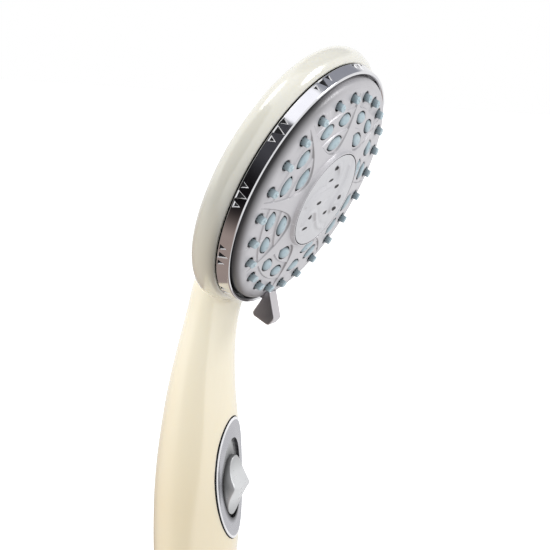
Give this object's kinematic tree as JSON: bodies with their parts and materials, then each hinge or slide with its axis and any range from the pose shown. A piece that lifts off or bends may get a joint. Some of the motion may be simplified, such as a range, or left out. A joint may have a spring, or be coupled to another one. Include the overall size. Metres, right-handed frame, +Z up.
{
  "type": "handheld shower head",
  "caption": "Round tilted spray head with a turning nozzle face, on a tapered hand grip with a pause slider and a threaded hose inlet.",
  "frame": {"origin": "centre of the inlet thread at its lower end", "axes": "+Z up the handle, -Y to the front where the water leaves, X sideways"},
  "size_m": [0.1004, 0.0772, 0.2569],
  "materials": {
    "shell": "glossy cream ABS",
    "ring": "bright chrome plate",
    "face": "light grey satin moulding",
    "nozzle": "aqua blue silicone",
    "lever": "light grey satin moulding",
    "cap": "light grey satin moulding",
    "slider": "light grey satin moulding",
    "escutcheon": "satin silver plate",
    "inner_plastic": "natural engineering plastic",
    "base_plastic": "dark engineering plastic",
    "steel": "stainless steel",
    "black_rubber": "black nitrile rubber",
    "inlet": "cream threaded moulding",
    "regulator": "green insert"
  },
  "bodies": {
    "body": {"body_shell": "shell", "chrome_ring": "ring", "diverter_base": "base_plastic", "retaining_screw": "steel", "retaining_washer": "steel", "pivot_o_ring": "black_rubber", "manifold_screws": "steel", "port_seal": "black_rubber", "port_seal_spring": "steel", "detent_ball": "steel", "detent_spring": "steel", "riser_tube": "inner_plastic", "riser_o_rings": "black_rubber", "valve_sleeve": "inner_plastic", "sleeve_o_rings": "black_rubber", "escutcheon": "escutcheon", "inlet_nipple": "inlet", "nipple_o_ring": "black_rubber", "flow_regulator": "regulator", "inlet_screen": "steel"},
    "selector": {"face_plate": "face", "nozzle_mat": "nozzle", "nozzle_carrier": "inner_plastic", "centre_cap": "cap", "selector_lever": "lever"},
    "turbine": {"massage_turbine": "inner_plastic"},
    "slider": {"pause_slider": "slider", "valve_spool": "base_plastic", "spool_o_rings": "black_rubber"}
  },
  "joints": [
    {"name": "selector_turn", "type": "hinge", "parent": "body", "child": "selector", "pos_m": [0, -0.0355, 0.2085], "axis": [0, -0.9135, -0.4067], "range_deg": [-60, 60]},
    {"name": "turbine_spin", "type": "hinge", "parent": "selector", "child": "turbine", "pos_m": [0, -0.0355, 0.2085], "axis": [0, -0.9135, -0.4067], "continuous": true},
    {"name": "pause_slide", "type": "slide", "parent": "body", "child": "slider", "axis": [0, 0, 1], "range_m": [0, 0.006]}
  ]
}
